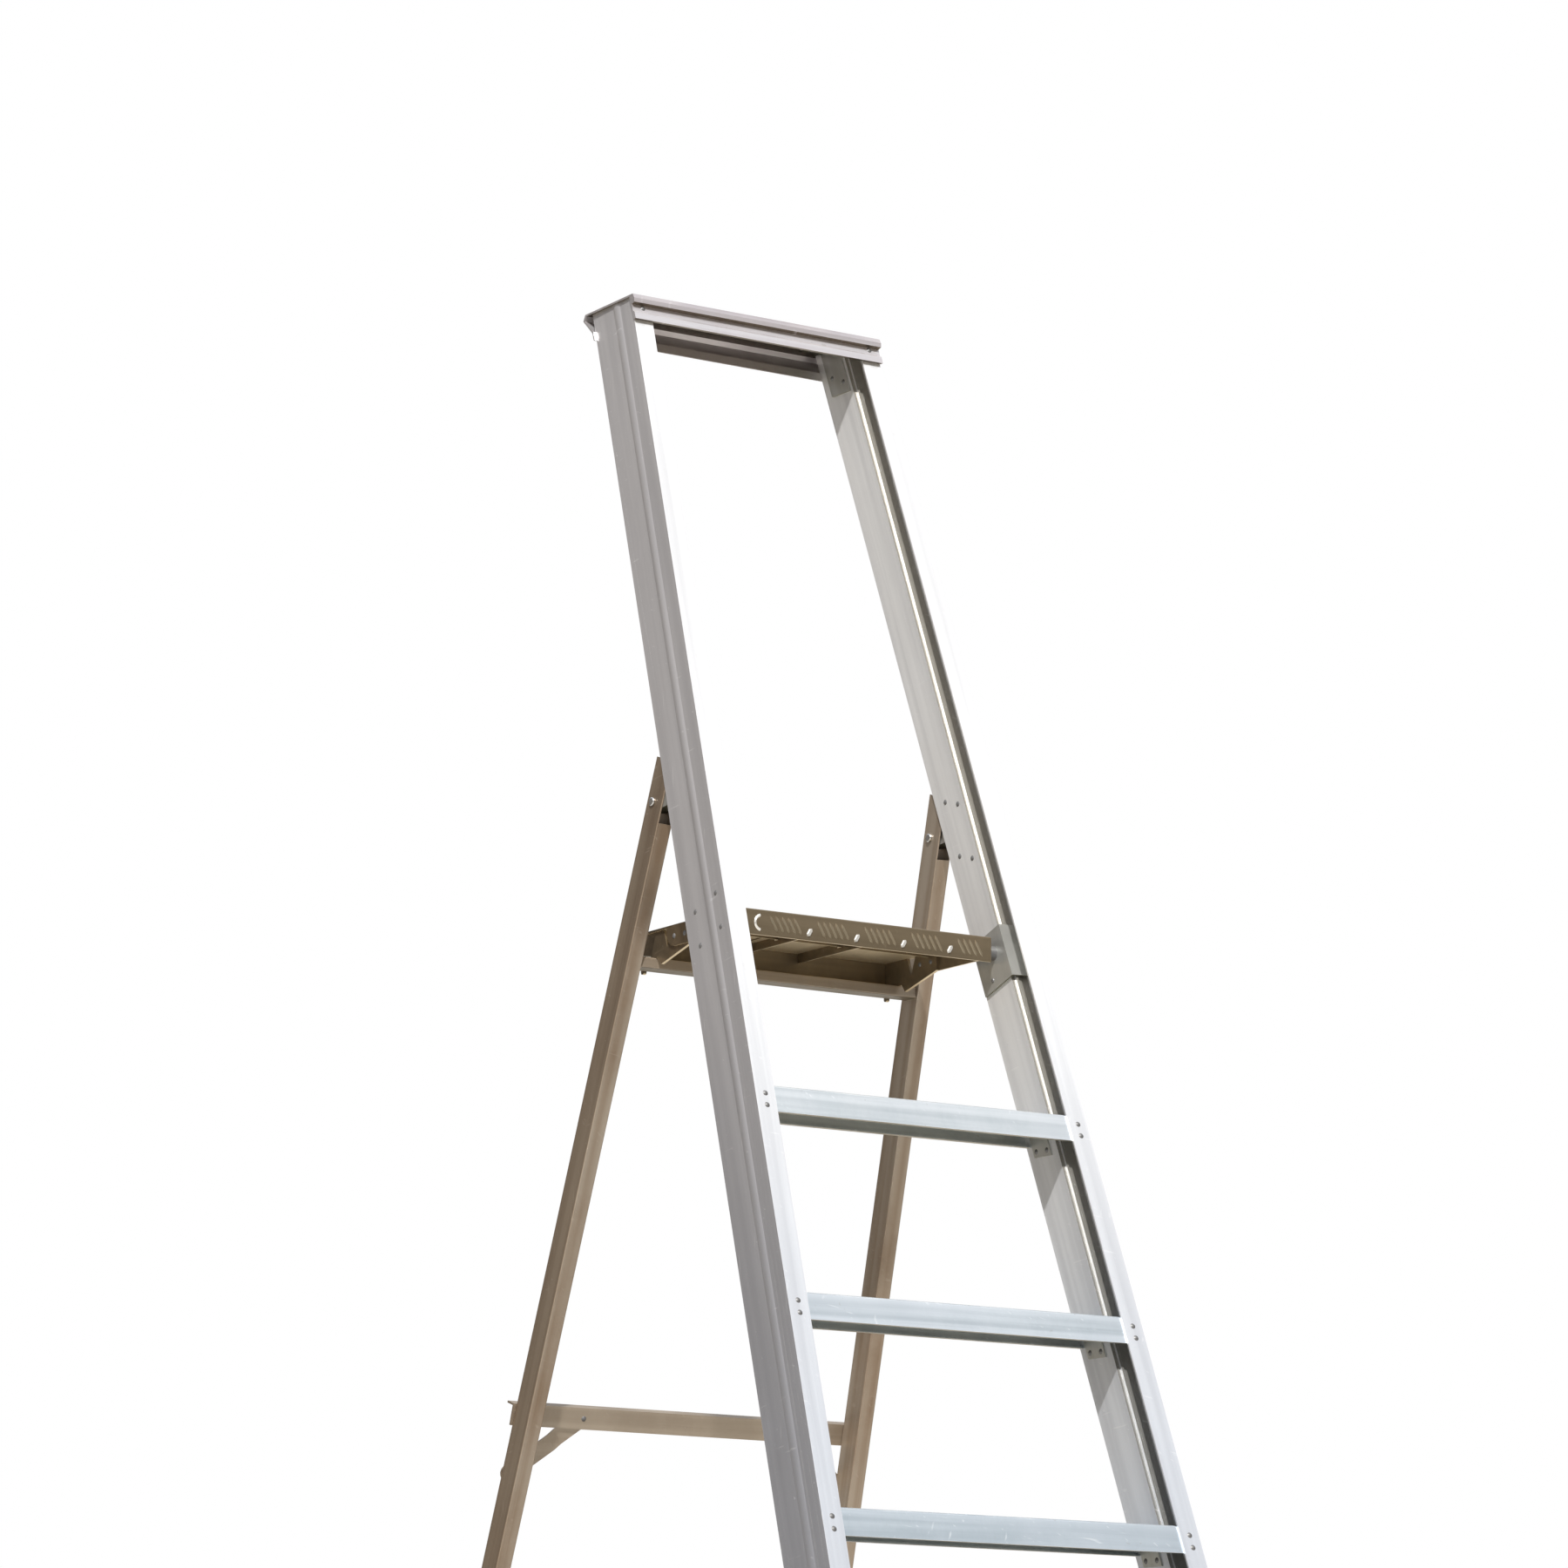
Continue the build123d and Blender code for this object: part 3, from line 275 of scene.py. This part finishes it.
metalLooks = {
    # clean and dull colours, then the painted shade of outward sides and of undersides (a painted
    # light under the platform); groove is painted shade in the bottom of the stiles' groove, and
    # low is a cooler painted shade over the lower end; the rest says how strong each effect is
    "stile": dict(bright=(0.93, 0.93, 0.93), dull=(0.72, 0.72, 0.73), outsideShade=(0.47, 0.45, 0.455),
                  under=(0.22, 0.20, 0.15), groove=(0.36, 0.34, 0.30), low=(0.70, 0.73, 0.78),
                  rough=0.36, metal=0.64, lines=1.0,
                  lean=(0.349, 0, 0), taper=0.05, smudge=0.6, dust=0.1, edge=0.8, bump=0.10),
    "tread": dict(bright=(0.84, 0.86, 0.88), dull=(0.52, 0.56, 0.58), outsideShade=(0.7, 0.7, 0.7),
                  under=(0.40, 0.36, 0.28), low=(0.74, 0.79, 0.84), rough=0.38, metal=0.75,
                  lines=1.0, lean=(0, pi / 2, 0), smudge=1.0, dust=0.5, edge=0.9, bump=0.10),
    "cap": dict(bright=(0.78, 0.76, 0.77), dull=(0.52, 0.46, 0.47), outsideShade=(0.6, 0.58, 0.58),
                under=(0.16, 0.13, 0.10), rough=0.32, metal=0.8, lines=1.0,
                lean=(0, pi / 2, 0), smudge=0.7, dust=0.4, edge=0.8, bump=0.08),
    # rearFrame: its brown tint is painted warm shade and reflection on the same aluminium as the
    # stiles
    "rearFrame": dict(bright=(0.45, 0.385, 0.315), dull=(0.27, 0.195, 0.135),
                      outsideShade=(0.30, 0.235, 0.17), under=(0.14, 0.115, 0.09), rough=0.40,
                      metal=0.75, lines=0.8, lean=(-0.314, 0, 0), taper=0.05, smudge=0.9, dust=0.15,
                      edge=0.8, bump=0.08),
    # brace: its brown tint is painted warm shade and reflection, as on the rear frame
    "brace": dict(bright=(0.44, 0.37, 0.295), dull=(0.29, 0.235, 0.18), outsideShade=(0.3, 0.24, 0.18),
                  under=(0.15, 0.12, 0.08), rough=0.40, metal=0.75, lines=0.8,
                  lean=(0, pi / 2, 0), smudge=0.8, dust=0.2, edge=0.8, bump=0.08),
    "platform": dict(bright=(0.24, 0.19, 0.125), dull=(0.13, 0.10, 0.062),
                     outsideShade=(0.2, 0.15, 0.095), under=(0.74, 0.61, 0.41), rough=0.38,
                     metal=0.75, lines=0.4, lean=(0, pi / 2, 0), smudge=1.0, dust=0.3,
                     edge=1.0, bump=0.06),
    "relief": dict(bright=(0.36, 0.30, 0.215), dull=(0.26, 0.205, 0.135), outsideShade=(0.4, 0.34, 0.25),
                   under=(0.2, 0.165, 0.1), rough=0.34, metal=0.8, lines=0.2,
                   lean=(0, pi / 2, 0), smudge=0.8, dust=0.2, edge=0.7, bump=0.04),
    # dash: its bright colour is a painted highlight for glinting bars on the lip
    "glintDash": dict(bright=(0.92, 0.90, 0.86), dull=(0.75, 0.72, 0.66), outsideShade=(0.8, 0.78, 0.72),
                 under=(0.3, 0.26, 0.2), rough=0.24, metal=0.8, lines=0.1,
                 lean=(0, pi / 2, 0), smudge=0.3, dust=0.1, edge=0.7, bump=0.02),
    "bracket": dict(bright=(0.58, 0.58, 0.56), dull=(0.38, 0.38, 0.34), outsideShade=(0.4, 0.39, 0.36),
                    under=(0.18, 0.17, 0.12), rough=0.38, metal=0.8, lines=0.3,
                    lean=(0.349, 0, 0), smudge=0.9, dust=0.3, edge=0.8, bump=0.05),
    "rivet": dict(bright=(0.19, 0.19, 0.19), dull=(0.12, 0.115, 0.115),
                  outsideShade=(0.20, 0.195, 0.195), under=(0.12, 0.11, 0.10), rough=0.52, metal=0.7,
                  lines=0.1, lean=(0, 0, 0), smudge=0.8, dust=0.1, edge=0.1, bump=0.02),
    "pin": dict(bright=(0.80, 0.80, 0.80), dull=(0.62, 0.62, 0.62), outsideShade=(0.85, 0.85, 0.85),
                under=(0.3, 0.3, 0.3), rough=0.2, metal=1.0, lines=0.2,
                lean=(0, pi / 2, 0), smudge=0.4, dust=0.1, edge=0.5, bump=0.02),
}


# how much of each effect goes into the colour, the roughness, the metal and the relief
finishMix = {
    "streaks": 0.28, "streakBase": 0.3, "bands": 0.45, "smudges": 0.36, "patches": 0.25,
    "outsideShade": 0.85, "outsideTone": 0.6, "rubbed": 1.12, "scratches": 0.3, "wearWidth": 0.0009,
    "dust": 0.5, "dustColour": (0.55, 0.52, 0.46, 1),
    "spots": 0.6, "spotColour": (0.34, 0.31, 0.26, 1),
    "lineRough": 0.16, "lineSmooth": 0.06, "smudgeRough": 0.12, "dustRough": 0.25,
    "edgeSmooth": 0.1, "dustMetal": -0.5, "scratchDepth": 0.8, "bumpStrength": 2.5,
    "bumpDistance": 0.0004,
}


def addShare(tree, total, effect, share, clamp=False):
    # a total plus a share of one effect
    return mathNode(tree, "ADD", total, mathNode(tree, "MULTIPLY", effect, share), clamp)


def makeMetal(name, look):
    material, tree, shader = startMaterial(name)
    mix = finishMix
    lines = look["lines"]
    draw = placeGroup(tree, drawLines, Lean=look["lean"], Taper=look.get("taper", 0.0),
                      Density=0.5 + 0.5 * lines)
    use = placeGroup(tree, handling, Amount=look["smudge"])
    wear = placeGroup(tree, edgeWear, Width=mix["wearWidth"], Strength=look["edge"])
    dirtAndShade = placeGroup(tree, grimeAndShade, Level=look["dust"])
    bright = (*look["bright"], 1)
    dull = (*look["dull"], 1)
    # broad streaks and smudges darken
    tone = mathNode(tree, "MULTIPLY", draw.outputs["Streaks"],
                    mix["streaks"] * min(1.0, lines + mix["streakBase"]))
    tone = addShare(tree, tone, draw.outputs["Bands"], mix["bands"] * lines)
    tone = addShare(tree, tone, use.outputs["Smudge"], mix["smudges"])
    tone = addShare(tree, tone, use.outputs["Patch"], mix["patches"], True)
    colour = mixColour(tree, tone, bright, dull)
    # painted shade on outward-facing sides
    outwardShade = mathNode(tree, "MULTIPLY", dirtAndShade.outputs["OutsideShade"], mix["outsideShade"])
    sideShade = mixColour(tree, mathNode(tree, "MULTIPLY", tone, mix["outsideTone"]),
                         (*look["outsideShade"], 1), dull, "MULTIPLY")
    colour = mixColour(tree, outwardShade, colour, sideShade)
    # painted shade on undersides; under the platform the colour is lighter, a painted light
    colour = mixColour(tree, dirtAndShade.outputs["UnderShading"], colour, (*look["under"], 1))
    # painted shade in the bottom of the stiles' groove, on its front-facing back wall
    if "groove" in look:
        colour = mixColour(tree, dirtAndShade.outputs["GrooveShade"], colour, (*look["groove"], 1))
    # painted cooler shade toward the lower end of the ladder
    if "low" in look:
        colour = mixColour(tree, dirtAndShade.outputs["LowShade"], colour, (*look["low"], 1), "MULTIPLY")
    # scratches and edges brighten, dust and dried spots grey
    rubbed = tuple(min(1.0, value * mix["rubbed"]) for value in look["bright"]) + (1,)
    scratched = mathNode(tree, "MULTIPLY", use.outputs["Scratch"], mix["scratches"])
    colour = mixColour(tree, scratched, colour, rubbed)
    colour = mixColour(tree, wear.outputs["Edge"], colour, rubbed)
    colour = mixColour(tree, mathNode(tree, "MULTIPLY", dirtAndShade.outputs["Dust"], mix["dust"]), colour,
                       mix["dustColour"])
    colour = mixColour(tree, mathNode(tree, "MULTIPLY", dirtAndShade.outputs["Spots"], mix["spots"]),
                       colour, mix["spotColour"])
    tree.links.new(colour, shader.inputs["Base Color"])
    rough = mathNode(tree, "MULTIPLY", draw.outputs["Lines"], mix["lineRough"] * lines)
    rough = mathNode(tree, "ADD", rough, look["rough"] - mix["lineSmooth"] * lines)
    rough = addShare(tree, rough, use.outputs["Smudge"], mix["smudgeRough"])
    rough = addShare(tree, rough, dirtAndShade.outputs["Dust"], mix["dustRough"])
    rough = addShare(tree, rough, wear.outputs["Edge"], -mix["edgeSmooth"], True)
    tree.links.new(rough, shader.inputs["Roughness"])
    metal = mathNode(tree, "MULTIPLY", dirtAndShade.outputs["Dust"], mix["dustMetal"])
    metal = mathNode(tree, "ADD", metal, look["metal"], True)
    tree.links.new(metal, shader.inputs["Metallic"])
    height = mathNode(tree, "MULTIPLY", draw.outputs["Lines"], lines)
    height = addShare(tree, height, use.outputs["Scratch"], -mix["scratchDepth"])
    bump = addNode(tree, "ShaderNodeBump", {"Height": height, "Distance": mix["bumpDistance"],
                                            "Strength": look["bump"] * mix["bumpStrength"]})
    tree.links.new(bump.outputs[0], shader.inputs["Normal"])
    return material


rubberLook = dict(base=(0.030, 0.030, 0.032, 1), worn=(0.11, 0.105, 0.10, 1), smudge=0.5,
                  wearWidth=0.0015, dust=0.6, dustColour=(0.30, 0.28, 0.25, 1), rough=0.62,
                  patchRough=0.15, grain=700.0, grainStrength=0.35, grainDepth=0.0004)


def makeRubber(name, look):
    material, tree, shader = startMaterial(name)
    use = placeGroup(tree, handling, Amount=1.0)
    wear = placeGroup(tree, edgeWear, Width=look["wearWidth"], Strength=1.0)
    dirtAndShade = placeGroup(tree, grimeAndShade, Level=1.0)
    colour = mixColour(tree, mathNode(tree, "MULTIPLY", use.outputs["Smudge"], look["smudge"]),
                       look["base"], look["worn"])
    colour = mixColour(tree, wear.outputs["Edge"], colour, look["worn"])
    colour = mixColour(tree, mathNode(tree, "MULTIPLY", dirtAndShade.outputs["Dust"], look["dust"]),
                       colour, look["dustColour"])
    tree.links.new(colour, shader.inputs["Base Color"])
    rough = mathNode(tree, "MULTIPLY", use.outputs["Patch"], look["patchRough"])
    rough = mathNode(tree, "ADD", rough, look["rough"])
    tree.links.new(rough, shader.inputs["Roughness"])
    grain = noiseAt(tree, look["grain"], (1, 1, 1), 3.0)
    bump = addNode(tree, "ShaderNodeBump", {"Height": grain, "Strength": look["grainStrength"],
                                            "Distance": look["grainDepth"]})
    tree.links.new(bump.outputs[0], shader.inputs["Normal"])
    return material


metals = {name: makeMetal(name + "Metal", look) for name, look in metalLooks.items()}
rubber = makeRubber("footRubber", rubberLook)
print("materials built")


def lookFor(name):
    if "foot" in name and "rivets" not in name:
        return rubber
    if "rivets" in name or "spacers" in name:
        return metals["rivet"]
    if "pin" in name:
        return metals["pin"]
    if "deck" in name or "hook_arm" in name:
        return metals["platform"]
    if "tread" in name and "cleat" not in name:
        return metals["tread"]
    if "stile" in name:
        return metals["stile"]
    if name == "top_cap":
        return metals["cap"]
    if "brace" in name or "strut" in name or name == "rear_crossbar":
        return metals["brace"]
    if "leg" in name:
        return metals["rearFrame"]
    return metals["bracket"]


edgeSoftness = {"width": 0.0004, "segments": 2, "angle": 40}


def dressNodes():
    # a finish for every CAD node, and a small round on its sharp edges
    for name, piece in nodes.items():
        piece.data.materials.clear()
        piece.data.materials.append(lookFor(name))
        soft = piece.modifiers.new("softEdge", "BEVEL")
        soft.width = edgeSoftness["width"]
        soft.segments = edgeSoftness["segments"]
        soft.limit_method = "ANGLE"
        soft.angle_limit = radians(edgeSoftness["angle"])


dressNodes()
print("CAD pieces dressed")


# raised pattern on the platform plate
reliefSizes = {
    "height": 0.0010, "sink": 0.0003, "barLength": 0.0245, "barWidth": 0.0040, "barGap": 0.0086,
    "bars": 5, "lipHeight": 0.031, "pitch": 0.068, "lean": 30, "firstDash": -0.150,
    "dashLength": 0.0125, "dashRise": 1.5, "dashWidth": 0.0062, "dashDrop": 0.0055,
    "endPlace": -0.150, "endRadius": 0.0115, "endWidth": 0.0046, "endSpread": 75, "endSteps": 10,
    "margin": 0.006,
    "deckPitch": 0.029, "deckBar": 0.021, "deckBarWidth": 0.0024, "deckGap": 0.0048,
    "deckTaper": 0.12, "deckMargin": (0.008, 0.010), "rivetClear": 0.012,
}


def addLozenge(mesh, centre, along, across, up, length, width, rise):
    # a raised bar with pointed ends and a narrower top, lying on a face
    base = []
    top = []
    sink = up * reliefSizes["sink"]
    for run, side in ((-0.5, 0), (-0.3, -0.5), (0.3, -0.5), (0.5, 0), (0.3, 0.5), (-0.3, 0.5)):
        reach = along * (run * length) + across * (side * width)
        base.append(mesh.verts.new(centre + reach - sink))
        inset = across * (side * width * 0.3)
        top.append(mesh.verts.new(centre + reach * 0.84 - inset + up * rise))
    for index in range(len(base)):
        after = (index + 1) % len(base)
        mesh.faces.new((base[index], base[after], top[after], top[index]))
    mesh.faces.new(top)
    mesh.faces.new(list(reversed(base)))


def addCrescent(mesh, centre, radius, width, rise):
    # the rounded end of the pattern, a raised arc on the lip that opens to the right; its bright
    # colour is a painted highlight where the curled lip end catches the light
    steps = reliefSizes["endSteps"]
    spread = reliefSizes["endSpread"]
    sunk = Vector((0, reliefSizes["sink"], 0))
    rings = []
    for index in range(steps + 1):
        angle = radians(spread * (2 * index / steps - 1))
        spoke = Vector((-cos(angle), 0, sin(angle)))
        inner = centre + spoke * (radius - width)
        outer = centre + spoke * radius
        middle = centre + spoke * (radius - width / 2) - Vector((0, rise, 0))
        rings.append([mesh.verts.new(point) for point in (inner + sunk, middle, outer + sunk)])
    for near, far in zip(rings, rings[1:]):
        for index in range(3):
            after = (index + 1) % 3
            mesh.faces.new((near[index], near[after], far[after], far[index]))
    mesh.faces.new(list(reversed(rings[0])))
    mesh.faces.new(rings[-1])


def meshPiece(name, mesh, material, body):
    bmesh.ops.recalc_face_normals(mesh, faces=mesh.faces)
    data = bpy.data.meshes.new(name)
    mesh.to_mesh(data)
    mesh.free()
    piece = bpy.data.objects.new(name, data)
    bpy.context.collection.objects.link(piece)
    data.materials.append(material)
    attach(piece, body)


def buildLipRelief():
    # groups of leaning bars along the front lip, with a short raised dash between the groups whose
    # bright colour is a painted highlight, the glint of the bars leaning the other way
    low, high = boxOf("platform_deck")
    size = reliefSizes
    bars = bmesh.new()
    glintDashes = bmesh.new()
    out = Vector((0, -1, 0))
    lean = radians(size["lean"])
    middle = high.z - size["lipHeight"] / 2 - 0.0005
    right = high.x - size["margin"]
    backward = Vector((-sin(lean), 0, cos(lean)))
    backwardAcross = Vector((cos(lean), 0, sin(lean)))
    forward = Vector((sin(lean), 0, cos(lean)))
    forwardAcross = Vector((cos(lean), 0, -sin(lean)))
    glintDash = size["firstDash"]
    while glintDash < right:
        if glintDash > size["firstDash"]:
            addLozenge(glintDashes, Vector((glintDash, low.y, middle - size["dashDrop"])), forward,
                       forwardAcross, out, size["dashLength"], size["dashWidth"],
                       size["height"] * size["dashRise"])
        for index in range(size["bars"]):
            x = glintDash + size["pitch"] / 2 + (index - (size["bars"] - 1) / 2) * size["barGap"]
            if x < right - size["barGap"]:
                addLozenge(bars, Vector((x, low.y, middle)), backward, backwardAcross, out,
                           size["barLength"], size["barWidth"], size["height"])
        glintDash += size["pitch"]
    centre = Vector((size["endPlace"], low.y, middle))
    addCrescent(glintDashes, centre, size["endRadius"], size["endWidth"], size["height"])
    meshPiece("lip_bars", bars, metals["relief"], "platform")
    meshPiece("lip_glint_dashes", glintDashes, metals["glintDash"], "platform")


def rivetSpots(name, height):
    # middles of the rivet heads that lie at a height, from the node's own points
    spots = []
    for vertex in nodes[name].data.vertices:
        if abs(vertex.co.z - height) < 0.0004:
            near = [spot for spot in spots if (spot - vertex.co.xy).length < 0.008]
            if not near:
                spots.append(vertex.co.xy.copy())
    return spots


def buildDeckRelief():
    # five bars to a square, each square turned a quarter from its neighbours
    low, high = boxOf("platform_deck")
    size = reliefSizes
    mesh = bmesh.new()
    spots = rivetSpots("platform_rivets", high.z)
    columns = int((high.x - low.x - size["deckMargin"][0]) / size["deckPitch"])
    rows = int((high.y - low.y - size["deckMargin"][1]) / size["deckPitch"])
    firstX = (low.x + high.x) / 2 - (columns - 1) * size["deckPitch"] / 2
    firstY = (low.y + high.y) / 2 - (rows - 1) * size["deckPitch"] / 2 + 0.001
    for column in range(columns):
        for row in range(rows):
            turned = (column + row) % 2
            angle = radians(45 if turned else -45)
            along = Vector((cos(angle), sin(angle), 0))
            across = Vector((-sin(angle), cos(angle), 0))
            middle = Vector((firstX + column * size["deckPitch"], firstY + row * size["deckPitch"],
                             high.z))
            for index in range(size["bars"]):
                step = (index - (size["bars"] - 1) / 2) * size["deckGap"]
                centre = middle + across * step
                fromMiddle = abs(index - (size["bars"] - 1) / 2)
                length = size["deckBar"] * (1 - size["deckTaper"] * fromMiddle)
                if all((spot - centre.xy).length > size["rivetClear"] for spot in spots):
                    addLozenge(mesh, centre, along, across, Vector((0, 0, 1)), length,
                               size["deckBarWidth"], size["height"])
    meshPiece("deck_relief", mesh, metals["relief"], "platform")


buildDeckRelief()
buildLipRelief()
print("plate relief built")


floorLook = {"size": 30.0, "colour": (0.50, 0.48, 0.44, 1), "darker": 0.94, "mottle": 3.0,
             "roughness": 0.9}


def buildFloor():
    data = bpy.data.meshes.new("floor")
    mesh = bmesh.new()
    half = floorLook["size"] / 2
    corners = [mesh.verts.new((x * half, y * half, 0))
               for x, y in ((-1, -1), (1, -1), (1, 1), (-1, 1))]
    mesh.faces.new(corners)
    mesh.to_mesh(data)
    mesh.free()
    floor = bpy.data.objects.new("floor", data)
    bpy.context.collection.objects.link(floor)
    material, tree, shader = startMaterial("floor")
    mottle = noiseAt(tree, floorLook["mottle"], (1, 1, 1), 5.0)
    darker = tuple(value * floorLook["darker"] for value in floorLook["colour"][:3]) + (1,)
    colour = mixColour(tree, mottle, floorLook["colour"], darker)
    tree.links.new(colour, shader.inputs["Base Color"])
    shader.inputs["Roughness"].default_value = floorLook["roughness"]
    data.materials.append(material)


lightLook = {
    "toSun": (-0.40, -0.58, 0.71), "sunPower": 5.6, "sunAngle": 2.5, "lampDistance": 8,
    "sunColour": (1.0, 0.985, 0.96),
    "sky": (0.86, 0.88, 0.92, 1), "front": (0.42, 0.40, 0.37, 1), "back": (0.22, 0.195, 0.17, 1),
    "ground": (0.20, 0.17, 0.125, 1), "depthStep": (-0.4, 0.5), "skyStep": (0.18, 0.6),
    "groundStep": (-0.12, 0.04), "worldPower": 0.8, "seen": (1, 1, 1, 1), "seenPower": 1.0,
}


def buildLight():
    bpy.context.scene.view_settings.view_transform = "Standard"
    sun = bpy.data.lights.new("keyLight", "SUN")
    sun.energy = lightLook["sunPower"]
    sun.angle = radians(lightLook["sunAngle"])
    sun.color = lightLook["sunColour"]
    lamp = bpy.data.objects.new("keyLight", sun)
    lamp.rotation_mode = "QUATERNION"
    lamp.rotation_quaternion = Vector(lightLook["toSun"]).to_track_quat("Z", "Y")
    lamp.location = Vector(lightLook["toSun"]) * lightLook["lampDistance"]
    bpy.context.collection.objects.link(lamp)
    world = bpy.data.worlds.new("studio")
    bpy.context.scene.world = world
    world.use_nodes = True
    tree = world.node_tree
    tree.nodes.clear()
    way = addNode(tree, "ShaderNodeTexCoord").outputs["Generated"]
    parts = addNode(tree, "ShaderNodeSeparateXYZ", {0: way}).outputs
    # a darker ground, a horizon that is warm in front and dim behind, and a pale sky
    depth = rampNode(tree, parts[1], *lightLook["depthStep"])
    horizon = mixColour(tree, depth, lightLook["front"], lightLook["back"])
    rise = rampNode(tree, parts[2], *lightLook["skyStep"])
    upper = mixColour(tree, rise, horizon, lightLook["sky"])
    above = rampNode(tree, parts[2], *lightLook["groundStep"])
    light = mixColour(tree, above, lightLook["ground"], upper)
    around = addNode(tree, "ShaderNodeBackground", {0: light, 1: lightLook["worldPower"]})
    seen = addNode(tree, "ShaderNodeBackground", {0: lightLook["seen"], 1: lightLook["seenPower"]})
    direct = addNode(tree, "ShaderNodeLightPath").outputs["Is Camera Ray"]
    pick = addNode(tree, "ShaderNodeMixShader", {0: direct, 1: around.outputs[0],
                                                 2: seen.outputs[0]})
    end = tree.nodes.new("ShaderNodeOutputWorld")
    tree.links.new(pick.outputs[0], end.inputs["Surface"])


cameraView = {
    "turn": 32.792, "rise": 11.636, "roll": 0.3, "distance": 6.6709,
    "aim": (-0.1970, -0.1736, 1.8583), "lens": 130.28, "sensor": 36.0, "farthest": 100.0,
}


def buildCamera():
    turn = radians(cameraView["turn"])
    rise = radians(cameraView["rise"])
    roll = radians(cameraView["roll"])
    forward = Vector((sin(turn) * cos(rise), cos(turn) * cos(rise), sin(rise)))
    right = Vector((cos(turn), -sin(turn), 0))
    up = right.cross(forward)
    side = right * cos(roll) + up * sin(roll)
    top = up * cos(roll) - right * sin(roll)
    place = Vector(cameraView["aim"]) - forward * cameraView["distance"]
    data = bpy.data.cameras.new("camera")
    data.lens = cameraView["lens"]
    data.sensor_width = cameraView["sensor"]
    data.clip_end = cameraView["farthest"]
    camera = bpy.data.objects.new("camera", data)
    bpy.context.collection.objects.link(camera)
    turned = Matrix((side, top, -forward)).transposed().to_4x4()
    camera.matrix_world = Matrix.Translation(place) @ turned
    bpy.context.scene.camera = camera


buildFloor()
buildLight()
buildCamera()
print("stage, light and camera set")
